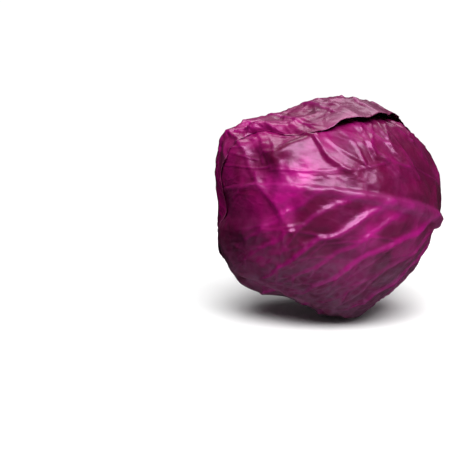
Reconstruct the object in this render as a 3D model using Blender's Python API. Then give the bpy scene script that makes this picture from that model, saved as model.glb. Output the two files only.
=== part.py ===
"""A red cabbage head, cut from its plant and lying on its side.

Six separate wrapper leaves lie over each other round a heart of packed inner leaves, and all of
them grow from one tapering stalk. The leaves follow each other round the stalk by three eighths of
a turn, as they do on the plant. Metres, +Z up. The origin is the middle of the flat spot on which
the head rests, straight under the middle of the head.
"""
import math

import bmesh
import bpy
import numpy as np
from mathutils import Matrix, Vector
from mathutils.bvhtree import BVHTree

# Place of the head: its middle over the resting spot, and the way from the middle to the stalk
HEAD_MIDDLE = Vector((0.0, 0.0, 0.0785))
STALK_WAY = Vector((0.77, 0.56, -0.31)).normalized()

# Whole head over its outermost leaves
HEAD_RADIUS = 0.0815

# Swellings and hollows of the head: way from the middle, spread in degrees, height in metres
SWELLINGS = (
    (STALK_WAY, 26.0, -0.0060),
    (-STALK_WAY, 30.0, -0.0020),
    (Vector((-0.86, -0.03, 0.51)), 21.0, 0.0150),
    (Vector((-0.97, -0.05, 0.10)), 20.0, -0.0060),
    (Vector((-0.86, -0.25, -0.42)), 28.0, 0.0040),
    (Vector((-0.32, -0.34, -0.88)), 22.0, -0.0130),
    (Vector((0.10, -0.20, -0.97)), 18.0, 0.0040),
    (Vector((-0.36, -0.10, 0.93)), 20.0, -0.0110),
    (Vector((0.25, -0.10, 0.96)), 26.0, 0.0045),
    (Vector((0.95, -0.25, 0.20)), 36.0, 0.0060),
    (Vector((0.80, -0.30, -0.50)), 26.0, -0.0040),
    (Vector((0.20, 0.85, 0.30)), 50.0, 0.0020),
)

# Heart: the ball of packed inner leaves, what is left of the head under the wrapper leaves
HEART_SIDES = 36
HEART_RINGS = 20
LEAF_ROOM = 0.0036           # what each wrapper leaf over the heart takes of the head's radius
ROOM_WIDTH = 14.0            # degrees from a leaf's edge over which that room opens
INNER_LEAF_STEP = 0.0011     # rise of the heart's surface inside the edge of each inner leaf
INNER_LEAF_COUNT = 4
INNER_EDGE_WIDTH = 5.0       # degrees over which that rise takes place

# Stalk: distance along its axis from the middle of the head, and radius there
STALK_PROFILE = (
    (0.0040, 0.0000),
    (0.0070, 0.0030),
    (0.0200, 0.0055),
    (0.0400, 0.0080),
    (0.0600, 0.0104),
    (0.0830, 0.0144),
    (0.0846, 0.0141),
    (0.0853, 0.0133),
    (0.0853, 0.0000),
)
STALK_SIDES = 28
POCKET_GAP = 0.0005
POCKET_MOUTH = 0.0690        # distance from the middle of the head at which the heart opens for it

# Leaves: blade, ribs and the room between two leaves
BLADE = 0.0010
LEAF_GAP = 0.0005
TURN_PER_LEAF = 135.0        # three eighths of a turn
FRONT_LEAF_AZIMUTH = 24.0    # 0 faces the front, 90 is up
LEAF_CENTRE = 107.0          # degrees from the stalk to the middle of a leaf's blade
LEAF_BASE = -96.6            # degrees from there back to the foot of the midrib
CORNER_BEARING = 152.0       # bearings run from 0 at the tip to this at the base corners
TIP_BEARING = 12.0
MIDRIB_HALF_WIDTH = 6.0      # degrees, at the foot of the leaf
MIDRIB_NARROWING = 0.86      # share of that width lost from foot to tip
MIDRIB_HEIGHT = 0.0062       # rise of the midrib at the foot of the leaf
MIDRIB_FALL = 1.6            # how fast the rise dies away towards the tip
MIDRIB_TIP_HEIGHT = 0.0006
MIDRIB_COLUMNS = 2           # grid columns from the midrib's crest to its side
VEIN_HEIGHT = 0.0019
VEIN_SHARPNESS = 8
VEIN_FALL = 0.7              # how fast the veins die away towards the edge
VEINS_PER_SIDE = 8
VEIN_SPREAD = 0.28           # 1 spaces the veins evenly along the midrib, less crowds them at its foot
VEIN_ARCH = 1.25             # how much the veins arch towards the tip
SCALLOP_DEPTH = 2.6          # degrees by which the edge draws back between two veins
SCALLOP_START = 0.12         # share of the leaf, from its foot, over which the scallops set in

# Each leaf's reach from the middle of its blade, in degrees, as pairs of bearing and reach. The
# first list is the side of rising azimuth, the second the other side.
WHOLE_SIDE = ((0, 94), (45, 91), (90, 84), (125, 87), (152, 97))
LOWER_SIDE = (
    (0, 104), (15, 111), (30, 113), (39, 107), (50, 92),
    (62, 85), (85, 82), (105, 84), (125, 88), (152, 97),
)
UPPER_SIDE = ((0, 104), (20, 102), (45, 90), (90, 84), (125, 87), (152, 96))
FLAP_SIDE = (
    (0, 54), (10, 51), (20, 47), (30, 54), (39, 70), (47, 84),
    (60, 88), (90, 87), (111, 82), (130, 85), (152, 96),
)
BACK_SIDE = ((0, 54), (14, 56), (28, 70), (45, 86), (90, 86), (125, 87), (152, 96))

# Flap of the outermost leaf: its loose edge stands off the head between these bearings
FLAP_BEARINGS = (34.0, 118.0)
FLAP_ENDS = 20.0             # degrees over which it rises at each end
FLAP_LIFT = 0.0055
FLAP_START = 0.66            # share of the way from midrib to edge where it leaves the head

# Every other edge stands off a little, from this share of the way to the edge
EDGE_LIFT = 0.0006
EDGE_START = 0.8

# Flat spot: the leaf under the head is pressed flat this far round the origin
RESTING_LEAF = "wrapper_leaf_3"
REST_RADIUS = 0.0175

# The leaves from the innermost to the outermost: steps from the front leaf, the two sides, the
# number of rows between veins, that of columns on each side of the midrib, and the ribs' share of
# their full height
LEAVES = (
    ("wrapper_leaf_6", 4, WHOLE_SIDE, WHOLE_SIDE, 2, 8, 0.4),
    ("wrapper_leaf_5", 3, WHOLE_SIDE, WHOLE_SIDE, 2, 8, 0.5),
    ("wrapper_leaf_4", 2, WHOLE_SIDE, WHOLE_SIDE, 2, 8, 0.6),
    ("wrapper_leaf_3", 1, WHOLE_SIDE, WHOLE_SIDE, 3, 10, 0.8),
    ("wrapper_leaf_2", 0, UPPER_SIDE, LOWER_SIDE, 4, 11, 1.0),
    ("wrapper_leaf_1", -1, BACK_SIDE, FLAP_SIDE, 4, 11, 1.0),
)

# Laying a leaf over what is under it
OUTSIDE = 0.2                # a distance from the middle of the head that clears everything
LEAST_RADIUS = 0.060         # no leaf comes nearer than this to the middle of the head
SAMPLES_PER_EDGE = 6
SETTLING_PASSES = 20
SETTLING_SHARE = 0.5
SMOOTHING_PASSES = 5

# Colours as in the sheet of one leaf, in linear light
LEAF_COLOUR = (0.215, 0.012, 0.105, 1.0)
HEART_COLOUR = (0.245, 0.018, 0.125, 1.0)
STALK_COLOUR = (0.80, 0.74, 0.55, 1.0)


def across_stalk():
    """Two directions square to the stalk: azimuth 0, towards the front, and azimuth 90, upwards."""
    front = Vector((0.0, -1.0, 0.0))
    front = (front - STALK_WAY * front.dot(STALK_WAY)).normalized()
    up = front.cross(STALK_WAY).normalized()
    return front, up


def leaf_frame(azimuth):
    """The middle of a leaf's blade as a direction, and the directions towards its tip and side."""
    front, up = across_stalk()
    turn = math.radians(azimuth)
    outward = front * math.cos(turn) + up * math.sin(turn)
    centre_angle = math.radians(LEAF_CENTRE)
    centre = STALK_WAY * math.cos(centre_angle) + outward * math.sin(centre_angle)
    tipward = outward * math.cos(centre_angle) - STALK_WAY * math.sin(centre_angle)
    sideward = up * math.cos(turn) - front * math.sin(turn)
    return np.array(centre), np.array(tipward), np.array(sideward)


def directions_from_plan(frame, x, y):
    """Directions from the middle of the head for points of the leaf's flat plan, in degrees."""
    centre, tipward, sideward = frame
    distance = np.hypot(x, y)
    scale = np.where(distance > 1e-9, distance, 1.0)
    angle = np.radians(distance)
    along = np.outer(x / scale, sideward) + np.outer(y / scale, tipward)
    return np.cos(angle)[:, None] * centre + np.sin(angle)[:, None] * along


def bearing_and_distance(frame, directions):
    """The bearing from the tip, the distance from the blade's middle and the side of directions."""
    centre, tipward, sideward = frame
    distance = np.degrees(np.arccos(np.clip(directions @ centre, -1.0, 1.0)))
    side = directions @ sideward
    bearing = np.degrees(np.arctan2(np.abs(side), directions @ tipward))
    return bearing, distance, side


def reach(outline, bearing):
    """Reach of a leaf at a bearing, on a smooth curve through its outline's points."""
    bearings, reaches = np.array(outline, float).T
    slopes = np.gradient(reaches, bearings)
    slopes[0] = slopes[-1] = 0.0
    bearing = np.clip(bearing, bearings[0], bearings[-1])
    span = np.clip(np.searchsorted(bearings, bearing) - 1, 0, len(bearings) - 2)
    width = bearings[span + 1] - bearings[span]
    f = (bearing - bearings[span]) / width
    return ((2 * f**3 - 3 * f**2 + 1) * reaches[span]
            + (f**3 - 2 * f**2 + f) * width * slopes[span]
            + (3 * f**2 - 2 * f**3) * reaches[span + 1]
            + (f**3 - f**2) * width * slopes[span + 1])


def smooth_step(low, high, value):
    """0 below the low value and 1 above the high one, with a smooth rise between them."""
    share = np.clip((value - low) / (high - low), 0.0, 1.0)
    return share * share * (3.0 - 2.0 * share)


def head_radius(directions):
    """Radius of the whole head in each direction, its uppermost leaves included."""
    radius = np.full(len(directions), HEAD_RADIUS)
    for way, spread, height in SWELLINGS:
        away = np.degrees(np.arccos(np.clip(directions @ np.array(way.normalized()), -1.0, 1.0)))
        radius += height * np.exp(-(away / spread) ** 2)
    return radius


def inside_leaf(step, sides, directions):
    """How far each direction lies inside a leaf's edge, in degrees."""
    frame = leaf_frame(FRONT_LEAF_AZIMUTH - TURN_PER_LEAF * step)
    bearing, distance, side = bearing_and_distance(frame, directions)
    edge = np.where(side > 0, reach(sides[0], bearing), reach(sides[1], bearing))
    return edge - distance


def heart_radius(directions):
    """Radius of the heart in each direction, with the edges of its own inner leaves."""
    radius = head_radius(directions)
    for _, step, rising_side, falling_side, *_ in LEAVES:
        inside = inside_leaf(step, (rising_side, falling_side), directions)
        radius -= LEAF_ROOM * smooth_step(-ROOM_WIDTH / 2, ROOM_WIDTH / 2, inside)
    for step in range(INNER_LEAF_COUNT):
        inside = inside_leaf(len(LEAVES) + step, (WHOLE_SIDE, WHOLE_SIDE), directions)
        radius += INNER_LEAF_STEP * (smooth_step(0.0, INNER_EDGE_WIDTH, inside) - 1.0)
    return radius


def turned_mesh(profile, sides):
    """A closed solid turned about +Z from pairs of height and radius, from one pole to the other."""
    turned = bmesh.new()
    points = [turned.verts.new((radius, 0.0, height)) for height, radius in profile]
    line = [turned.edges.new(pair) for pair in zip(points, points[1:])]
    bmesh.ops.spin(turned, geom=points + line, cent=(0, 0, 0), axis=(0, 0, 1),
                   angle=math.tau, steps=sides, use_merge=True)
    bmesh.ops.remove_doubles(turned, verts=turned.verts, dist=1e-6)
    bmesh.ops.recalc_face_normals(turned, faces=turned.faces)
    return turned


def stalk_radius(height):
    """Radius of the stalk at a distance along its axis, up to its cut end."""
    heights, radii = zip(*STALK_PROFILE[:6])
    return float(np.interp(height, heights, radii))


def add_object(name, mesh_source, colour, roughness):
    """A node from a bmesh, with its own material."""
    mesh = bpy.data.meshes.new(name)
    mesh_source.to_mesh(mesh)
    mesh_source.free()
    mesh.shade_smooth()
    mesh.set_sharp_from_angle(angle=math.radians(50))
    material = bpy.data.materials.new(name + "_finish")
    material.use_nodes = True
    shader = material.node_tree.nodes["Principled BSDF"]
    shader.inputs["Base Color"].default_value = colour
    shader.inputs["Roughness"].default_value = roughness
    shader.inputs["Metallic"].default_value = 0.0
    mesh.materials.append(material)
    node = bpy.data.objects.new(name, mesh)
    bpy.context.collection.objects.link(node)
    return node


def stalk_turn():
    """Matrix that lays the turned solids' +Z along the stalk, from the middle of the head."""
    turn = STALK_WAY.to_track_quat("Z", "Y").to_matrix().to_4x4()
    return Matrix.Translation(HEAD_MIDDLE) @ turn


def make_stalk():
    """The core that carries every leaf, and the stump where the head was cut off."""
    solid = turned_mesh(STALK_PROFILE, STALK_SIDES)
    solid.transform(stalk_turn())
    return add_object("stalk", solid, STALK_COLOUR, 0.6)


def make_heart():
    """The packed inner leaves, round a pocket that the stalk's core fills."""
    mouth = math.degrees(math.asin((stalk_radius(POCKET_MOUTH) + POCKET_GAP) / POCKET_MOUTH))
    pocket = [(height, radius + POCKET_GAP) for height, radius in STALK_PROFILE[1:5]]
    profile = [(STALK_PROFILE[0][0] - POCKET_GAP, 0.0)] + pocket
    arc = np.radians(np.linspace(mouth, 180.0, HEART_RINGS))
    profile += [(HEAD_RADIUS * math.cos(a), HEAD_RADIUS * max(math.sin(a), 0.0)) for a in arc]
    solid = turned_mesh(profile, HEART_SIDES)
    shell = [v for v in solid.verts if v.co.length > POCKET_MOUTH]
    turn = stalk_turn().to_3x3()
    directions = np.array([turn @ v.co.normalized() for v in shell])
    for vertex, radius in zip(shell, heart_radius(directions)):
        vertex.co = vertex.co.normalized() * radius
    solid.transform(stalk_turn())
    return add_object("heart", solid, HEART_COLOUR, 0.5)


def surface_tree(nodes):
    """A tree of the outer surfaces laid so far, for finding how far out they reach."""
    points, faces = [], []
    for node in nodes:
        first = len(points)
        points += [v.co.copy() for v in node.data.vertices]
        faces += [[first + index for index in face.vertices] for face in node.data.polygons]
    return BVHTree.FromPolygons(points, faces)


def reach_outwards(tree, directions):
    """How far from the middle of the head what is already laid reaches in each direction."""
    found = np.full(len(directions), LEAST_RADIUS)
    for index, direction in enumerate(directions):
        way = Vector(direction)
        hit = tree.ray_cast(HEAD_MIDDLE + way * OUTSIDE, -way)[0]
        if hit is not None:
            found[index] = (hit - HEAD_MIDDLE).length
    return found


def leaf_plan(columns, q, u, sides):
    """Plan of a leaf in degrees. q runs from base to tip, u from edge to edge over the midrib.

    Each row of the plan follows a side vein, which leaves the midrib and arches to the edge. The
    edge draws back between two veins. It returns x, y, the bearing of the row's end on the edge
    and the midrib's half width there."""
    bearing = CORNER_BEARING - (CORNER_BEARING - TIP_BEARING) * q
    tip_reach = sides[0][0][1]
    along = VEIN_SPREAD * q + (1.0 - VEIN_SPREAD) * q**3
    foot = LEAF_BASE + (tip_reach - LEAF_BASE) * along
    edge = np.where(u > 0, reach(sides[0], bearing), reach(sides[1], bearing))
    between_veins = np.sin(np.pi * q * VEINS_PER_SIDE) ** 2
    edge -= SCALLOP_DEPTH * (1.0 - between_veins) * smooth_step(0.0, SCALLOP_START, q)
    end_x = edge * np.sin(np.radians(bearing))
    end_y = edge * np.cos(np.radians(bearing))
    rib = MIDRIB_HALF_WIDTH * (1.0 - MIDRIB_NARROWING * q)
    rib_share = MIDRIB_COLUMNS / columns
    away = np.abs(u)
    x = np.where(away < rib_share, rib * away / rib_share,
                 rib + (end_x - rib) * (away - rib_share) / (1.0 - rib_share))
    y = foot + (end_y - foot) * (x / end_x) ** VEIN_ARCH
    return np.sign(u) * x, y, bearing, rib


def leaf_relief(q, u, x, rib, share):
    """Rise of a leaf's outer face over its blade: the midrib and the side veins."""
    midrib = MIDRIB_HEIGHT * (1.0 - q) ** MIDRIB_FALL + MIDRIB_TIP_HEIGHT
    hump = np.cos(np.clip(np.abs(x) / rib, 0.0, 1.0) * math.pi / 2) ** 2
    ridge = np.sin(np.pi * q * VEINS_PER_SIDE) ** VEIN_SHARPNESS
    fade = (1.0 - np.abs(u)) ** VEIN_FALL * smooth_step(0.0, 0.08, q) * smooth_step(1.02, 0.85, q)
    return share * (midrib * hump + VEIN_HEIGHT * ridge * fade)


def points_in_triangle(count):
    """Weights of the corners for points spread over a triangle, its corners and edges included."""
    pairs = [(i, j) for i in range(count + 1) for j in range(count + 1 - i)]
    return np.array([(i, j, count - i - j) for i, j in pairs]) / count


def points_over_facets(tree, corners):
    """Points spread over a sheet's facets: facet, shares of its corners, and radius that clears."""
    weights = points_in_triangle(SAMPLES_PER_EDGE)
    chords = np.einsum("pk,fkc->fpc", weights, corners)
    length = np.linalg.norm(chords, axis=2)[:, :, None]
    facet = np.repeat(np.arange(len(corners)), len(weights))
    reached = reach_outwards(tree, (chords / length).reshape(-1, 3))
    return facet, (weights[None] / length).reshape(-1, 3), reached + LEAF_GAP


def points_under_facets(laid, corners):
    """The corners of everything laid so far, each with the facet that covers it."""
    points = np.array([v.co - HEAD_MIDDLE for node in laid for v in node.data.vertices])
    radius = np.linalg.norm(points, axis=1)
    into_corners = np.linalg.inv(np.swapaxes(corners, 1, 2))
    shares = np.einsum("fij,pj->fpi", into_corners, points / radius[:, None])
    facet, point = np.nonzero((shares > -1e-6).all(axis=2))
    return facet, shares[facet, point], radius[point] + LEAF_GAP


def laid_over(laid, directions, triangles):
    """Radius of each corner of a sheet that clears what is under it with all of its flat facets.

    Along a direction that takes given shares of a facet's corners, one over the facet's radius is
    those shares of one over the corners' radii. A corner rises as its facets' points need it to,
    and at last every facet that is still too low somewhere rises as a whole."""
    tree = surface_tree(laid)
    corners = directions[triangles]
    found = [points_over_facets(tree, corners), points_under_facets(laid, corners)]
    facet, shares, wanted = (np.concatenate(values) for values in zip(*found))
    inverse = 1.0 / (reach_outwards(tree, directions) + LEAF_GAP)
    for settling in range(SETTLING_PASSES + 1):
        short = np.clip((shares * inverse[triangles[facet]]).sum(axis=1) - 1.0 / wanted, 0.0, None)
        if settling < SETTLING_PASSES:
            fall = SETTLING_SHARE * (short / (shares**2).sum(axis=1))[:, None] * shares
        else:
            fall = (short / shares.sum(axis=1))[:, None] * np.ones(3)
        step = np.zeros(len(directions))
        np.maximum.at(step, triangles[facet], fall)
        inverse -= step
    return 1.0 / inverse


def drawn_smooth(need, grid_shape):
    """Radii of a smooth sheet that nowhere goes under the needed ones."""
    need = need.reshape(grid_shape)
    radius = need.copy()
    for _ in range(SMOOTHING_PASSES):
        padded = np.pad(radius, 1, mode="edge")
        around = (padded[:-2, 1:-1] + padded[2:, 1:-1] + padded[1:-1, :-2] + padded[1:-1, 2:]) / 4
        radius = np.maximum(need, 0.5 * radius + 0.5 * around)
    return radius.reshape(-1)


def make_leaf(name, step, sides, rows_per_vein, columns, rib_share, laid):
    """One wrapper leaf, laid over everything made before it."""
    rows = VEINS_PER_SIDE * rows_per_vein
    grid_shape = (rows + 1, 2 * columns + 1)
    sheet = bmesh.new()
    place = sheet.verts.layers.int.new("place")
    bmesh.ops.create_grid(sheet, x_segments=2 * columns, y_segments=rows, size=1.0)
    order = sorted(sheet.verts, key=lambda v: (round(v.co.y, 6), round(v.co.x, 6)))
    for index, vertex in enumerate(order):
        vertex[place] = index
    bmesh.ops.triangulate(sheet, faces=sheet.faces, quad_method="FIXED")
    triangles = np.array([[corner[place] for corner in face.verts] for face in sheet.faces])
    u = np.array([vertex.co.x for vertex in order])
    q = np.array([(vertex.co.y + 1.0) / 2.0 for vertex in order])
    frame = leaf_frame(FRONT_LEAF_AZIMUTH - TURN_PER_LEAF * step)
    x, y, bearing, rib = leaf_plan(columns, q, u, sides)
    directions = directions_from_plan(frame, x, y)
    need = laid_over(laid, directions, triangles)
    inner = drawn_smooth(need, grid_shape) + EDGE_LIFT * smooth_step(EDGE_START, 1.0, np.abs(u))
    if sides[1] is FLAP_SIDE:
        first, last = FLAP_BEARINGS
        loose = smooth_step(first, first + FLAP_ENDS, bearing)
        loose *= smooth_step(last, last - FLAP_ENDS, bearing) * (u < 0)
        inner += FLAP_LIFT * loose * smooth_step(FLAP_START, 1.0, np.abs(u))
    outer = inner + BLADE + leaf_relief(q, u, x, rib, rib_share)
    middle = np.array(HEAD_MIDDLE)
    for vertex, direction, radius in zip(order, directions, inner):
        vertex.co = middle + direction * radius
    raised = bmesh.ops.extrude_face_region(sheet, geom=sheet.faces[:], use_keep_orig=True)
    for vertex in (item for item in raised["geom"] if isinstance(item, bmesh.types.BMVert)):
        vertex.co = middle + directions[vertex[place]] * outer[vertex[place]]
        if name == RESTING_LEAF and vertex.co.xy.length < REST_RADIUS:
            vertex.co.z = 0.0
    sheet.normal_update()
    bmesh.ops.recalc_face_normals(sheet, faces=sheet.faces)
    if sheet.calc_volume(signed=True) < 0.0:
        bmesh.ops.reverse_faces(sheet, faces=sheet.faces)
    return add_object(name, sheet, LEAF_COLOUR, 0.45)


def main():
    for old in list(bpy.data.objects):
        bpy.data.objects.remove(old)
    make_stalk()
    laid = [make_heart()]
    for name, step, rising_side, falling_side, rows_per_vein, columns, rib_share in LEAVES:
        sides = (rising_side, falling_side)
        laid.append(make_leaf(name, step, sides, rows_per_vein, columns, rib_share, laid))


main()
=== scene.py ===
"""A red cabbage head on its side, in a bright studio: its leaves, heart and stalk as they look.

The head is laid leaf by leaf from the inside out. Each leaf is a fine sheet that drapes over what
is under it, with its own midrib, side veins, forks, net of small veins, puffed blade and waved
edge. Lengths are in metres, and a leaf's plan is in degrees round the middle of its blade.
"""

import math
from collections import namedtuple

import bpy
import numpy as np
from mathutils import Matrix, Vector
from mathutils.bvhtree import BVHTree
from mathutils.kdtree import KDTree


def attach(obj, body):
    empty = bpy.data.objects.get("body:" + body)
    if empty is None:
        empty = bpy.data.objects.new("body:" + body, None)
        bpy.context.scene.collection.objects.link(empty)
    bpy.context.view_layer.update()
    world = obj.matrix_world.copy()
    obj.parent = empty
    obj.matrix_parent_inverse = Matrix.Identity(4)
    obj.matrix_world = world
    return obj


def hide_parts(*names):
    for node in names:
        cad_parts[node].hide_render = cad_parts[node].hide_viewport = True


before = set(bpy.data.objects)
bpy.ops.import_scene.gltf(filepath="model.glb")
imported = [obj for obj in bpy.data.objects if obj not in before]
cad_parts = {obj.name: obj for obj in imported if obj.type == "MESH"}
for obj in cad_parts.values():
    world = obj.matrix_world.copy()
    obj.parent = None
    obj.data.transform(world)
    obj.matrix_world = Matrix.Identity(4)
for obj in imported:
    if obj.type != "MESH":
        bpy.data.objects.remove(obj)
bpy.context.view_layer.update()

# Place of the head
HEAD_MIDDLE = Vector((0.0, 0.0, 0.0785))
STALK_WAY = Vector((0.77, 0.56, -0.31)).normalized()
HEAD_RADIUS = 0.0815
METRES_PER_DEGREE = 0.00142  # on the head's surface

# Swellings and hollows: way from the middle of the head, spread in degrees, height
SWELLINGS = (
    (STALK_WAY, 26.0, -0.0060),
    (STALK_WAY, 15.0, 0.0060),
    (-STALK_WAY, 30.0, -0.0020),
    (Vector((-0.86, -0.03, 0.51)), 21.0, 0.0130),
    (Vector((-0.97, -0.05, 0.10)), 20.0, -0.0060),
    (Vector((-0.86, -0.25, -0.42)), 28.0, 0.0052),
    (Vector((-0.66, -0.20, -0.72)), 18.0, 0.0050),
    (Vector((-0.32, -0.34, -0.88)), 22.0, -0.0060),
    (Vector((0.10, -0.24, -0.96)), 20.0, 0.0070),
    (Vector((-0.64, 0.05, 0.77)), 12.0, 0.0045),
    (Vector((-0.36, -0.10, 0.93)), 20.0, -0.0110),
    (Vector((0.25, -0.10, 0.96)), 26.0, 0.0035),
    (Vector((0.70, -0.15, 0.70)), 22.0, -0.0042),
    (Vector((0.95, -0.25, 0.20)), 36.0, 0.0060),
    (Vector((0.80, -0.30, -0.50)), 26.0, -0.0040),
    (Vector((0.20, 0.85, 0.30)), 50.0, -0.0005),
)

# Patches of darker skin, or of brighter skin where the amount is below 0: way, spread, amount.
# They are partly the skin's own tone and partly painted light: the dark patch at the left end
# is painted shade, and the bright one at the middle left is a painted pool of light.
PIGMENT_AND_PAINTED_LIGHT = (
    (Vector((-0.83, -0.56, -0.03)), 17.0, 1.0),
    (Vector((-0.78, -0.36, 0.52)), 13.0, 0.5),
    (Vector((-0.42, -0.82, 0.38)), 15.0, -0.9),
    (Vector((-0.05, -0.99, 0.10)), 12.0, 0.5),
    (Vector((0.56, -0.77, 0.30)), 11.0, 0.5),
    (Vector((0.80, -0.37, 0.47)), 17.0, 0.6),
    (Vector((-0.53, -0.80, -0.28)), 15.0, 0.5),
    (Vector((0.30, -0.90, -0.10)), 14.0, -0.4),
    (Vector((0.10, 0.90, 0.40)), 25.0, 0.6),
    (Vector((-0.70, 0.60, -0.10)), 20.0, 0.5),
)

# How the leaves stand round the stalk, and the plan of each
TURN_PER_LEAF = 135.0
FRONT_LEAF_AZIMUTH = 24.0
LEAF_CENTRE = 107.0
LEAF_BASE = -96.6
CORNER_BEARING = 152.0
TIP_BEARING = 12.0
SCALLOPS = 8
SCALLOP_DEPTH = 1.6
RAGGED_SIZE = 0.10
RAGGED_DEPTH = 1.1

# Reach of a leaf from the middle of its blade, as pairs of bearing and reach in degrees
WHOLE_SIDE = ((0, 94), (45, 91), (90, 84), (125, 87), (152, 97))
LOWER_SIDE = (
    (0, 104), (15, 111), (30, 113), (39, 107), (50, 92),
    (62, 85), (85, 82), (105, 84), (125, 88), (152, 97),
)
UPPER_SIDE = ((0, 104), (20, 102), (45, 90), (90, 84), (125, 87), (152, 96))
FLAP_SIDE = (
    (0, 54), (10, 51), (20, 47), (30, 54), (39, 68), (47, 79),
    (60, 82), (75, 85), (90, 84), (111, 80), (130, 84), (152, 96),
)
BACK_SIDE = (
    (0, 54), (14, 55), (22, 57), (36, 68), (54, 74),
    (70, 81), (90, 85), (125, 87), (152, 96),
)

# The leaves from the innermost to the outermost: steps round the stalk from the front leaf, both
# sides, rows and columns of the sheet, share of the full relief, and the seed of what varies
Leaf = namedtuple("Leaf", "name step rising falling rows columns depth seed")
FRONT_LEAF = "wrapper_leaf_2"
UPPERMOST_LEAF = "wrapper_leaf_1"
LEAVES = (
    Leaf("wrapper_leaf_6", 4, WHOLE_SIDE, WHOLE_SIDE, 150, 60, 0.3, 61),
    Leaf("wrapper_leaf_5", 3, WHOLE_SIDE, WHOLE_SIDE, 150, 60, 0.35, 52),
    Leaf("wrapper_leaf_4", 2, WHOLE_SIDE, WHOLE_SIDE, 150, 60, 0.45, 43),
    Leaf("wrapper_leaf_3", 1, WHOLE_SIDE, WHOLE_SIDE, 190, 80, 0.7, 34),
    Leaf(FRONT_LEAF, 0, UPPER_SIDE, LOWER_SIDE, 240, 95, 1.0, 25),
    Leaf(UPPERMOST_LEAF, -1, BACK_SIDE, FLAP_SIDE, 240, 95, 1.0, 16),
)

# Thickness of the blade, and the room that a leaf takes up
BLADE = 0.0007
LEAF_GAP = 0.00025
LEAF_ROOM = 0.0042
ROOM_WIDTH = 14.0
OUTSIDE = 0.2  # rays towards the head start at this distance
LEAST_RADIUS = 0.045
DRAPE_PASSES = 40
CLOSE_DRAPE_PASSES = 12  # of the uppermost leaf, which is wilted and clings
SOFTEN_PASSES = 8

# Midrib: half its width in degrees, its heights, and the columns of the sheet over each half
MIDRIB_HALF_WIDTH = 6.0
MIDRIB_NARROWING = 0.62
MIDRIB_HEIGHT = 0.0056
MIDRIB_FALL = 1.6
MIDRIB_TIP_HEIGHT = 0.0004
MIDRIB_COLUMNS = 4

# Kinds of vein: width in degrees and height at the start and the end of each, then the step that
# the blade makes beside it, how far the step reaches in degrees, and where on the vein it sets in
Vein = namedtuple("Vein", "width height step reach start", defaults=(0.0, 4.5, 0.0))
FRONT_VEIN_BELOW = Vein((2.6, 1.3), (0.0015, 0.0007), 0.0027, 5.5)
FRONT_VEIN_ABOVE = Vein((1.6, 1.2), (0.0003, 0.0009), 0.0026, 4.5, 0.22)
SIDE_VEIN = Vein((2.3, 1.0), (0.0012, 0.0006), 0.0012)
BRANCH = Vein((0.9, 0.6), (0.0008, 0.0004))
PRESSED_RIB = Vein((1.7, 1.2), (0.0013, 0.0007))
STEP_EDGE = (-1.6, 1.0)
VEIN_POINTS = 30
VEIN_BEND = 1.8
VEIN_BEND_LENGTH = 9.0
VEINS_A_SIDE = 9
FORK_PLACES = (0.38, 0.56, 0.72, 0.86)
FORK_LEFT_OUT = 0.25  # share of the forks
FORK_SWING = (24, 42)

# Side veins of the front leaf as they run over its plan, from the midrib to the edge
FRONT_VEINS_BELOW = (
    ((0, 30), (-14, 45), (-30, 62), (-48, 80)),
    ((0, 10), (-10, 26), (-26, 44), (-46, 62), (-66, 74)),
    ((0, -9), (-5, -2.5), (-10, 6), (-19, 17), (-28, 28), (-39, 37), (-58, 48), (-80, 58)),
    ((0, -21), (-6, -14), (-11, -8), (-22, 3), (-31, 13), (-44, 25), (-60, 37), (-80, 44)),
    ((0, -46), (-8, -36), (-17, -24), (-24, -9), (-31, -1), (-41, 7), (-54, 16), (-70, 26), (-84, 32)),
    ((0, -62), (-12, -47), (-26, -33), (-35, -21), (-43, -12), (-52, -4), (-66, 2), (-84, 12)),
    ((0, -76), (-16, -62), (-33, -48), (-46, -32), (-56, -22), (-68, -16), (-86, -8)),
    ((0, -86), (-22, -72), (-42, -60), (-58, -46), (-72, -36), (-86, -28)),
    ((0, -92), (-26, -82), (-50, -74), (-70, -60), (-84, -50)),
)
BELOW_STRENGTHS = (0.5, 0.6, 1.0, 0.6, 0.9, 0.5, 0.8, 0.5, 0.7)
FRONT_VEINS_ABOVE = (
    ((0, 44), (12, 60), (28, 76), (40, 86)),
    ((0, 20), (6, 36), (16, 52), (34, 68), (52, 78)),
    ((0, -14), (10, 10), (14, 20), (20, 28), (32, 37), (48, 48), (72, 58)),
    ((0, -30), (9, -10), (16, 5), (22, 19), (34, 30), (56, 42), (80, 48)),
    ((0, -52), (10, -26), (20, -5), (25, 4), (36, 8), (52, 16), (80, 26)),
    ((0, -66), (12, -38), (19, -19), (27, -10), (40, -4), (60, 2), (84, 8)),
    ((0, -78), (14, -56), (27, -38), (40, -28), (60, -20), (84, -12)),
    ((0, -87), (22, -70), (42, -56), (62, -44), (84, -36)),
    ((0, -92), (26, -82), (50, -72), (70, -60), (84, -54)),
)
ABOVE_STRENGTHS = (0.0, 0.0, 1.0, 0.6, 1.0, 0.7, 0.35, 0.25, 0.2)
# Ribs of the leaves underneath that press through the front leaf
FRONT_PRESSED_RIBS = (
    ((10, 68), (3, 66), (-4, 60), (-11, 53), (-19, 47), (-28, 38), (-34, 31)),
    ((44, 84), (35, 78), (27, 75), (14, 72), (3, 67)),
    ((24, 64), (22, 60), (21, 55)),
    ((3, 66), (-2, 76), (-8, 84)),
)

# Relief of the blade
CELL_SIZE = 6.0  # of the net of small veins, in degrees
NET_WIDTH = 1.1
NET_HEIGHT = 0.0003
QUILT_HEIGHT = 0.0009
PUFF_HEIGHT = 0.0005
WAVE_SIZE = 0.022
WAVE_HEIGHT = 0.0017
CREASE_SIZE = 0.022
CREASE_HEIGHT = 0.0004
EDGE_WAVE_SIZE = 0.012
BLOTCH_SIZE = 0.016  # in the colour of the skin
EDGE_LIFT = 0.0008

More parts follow.
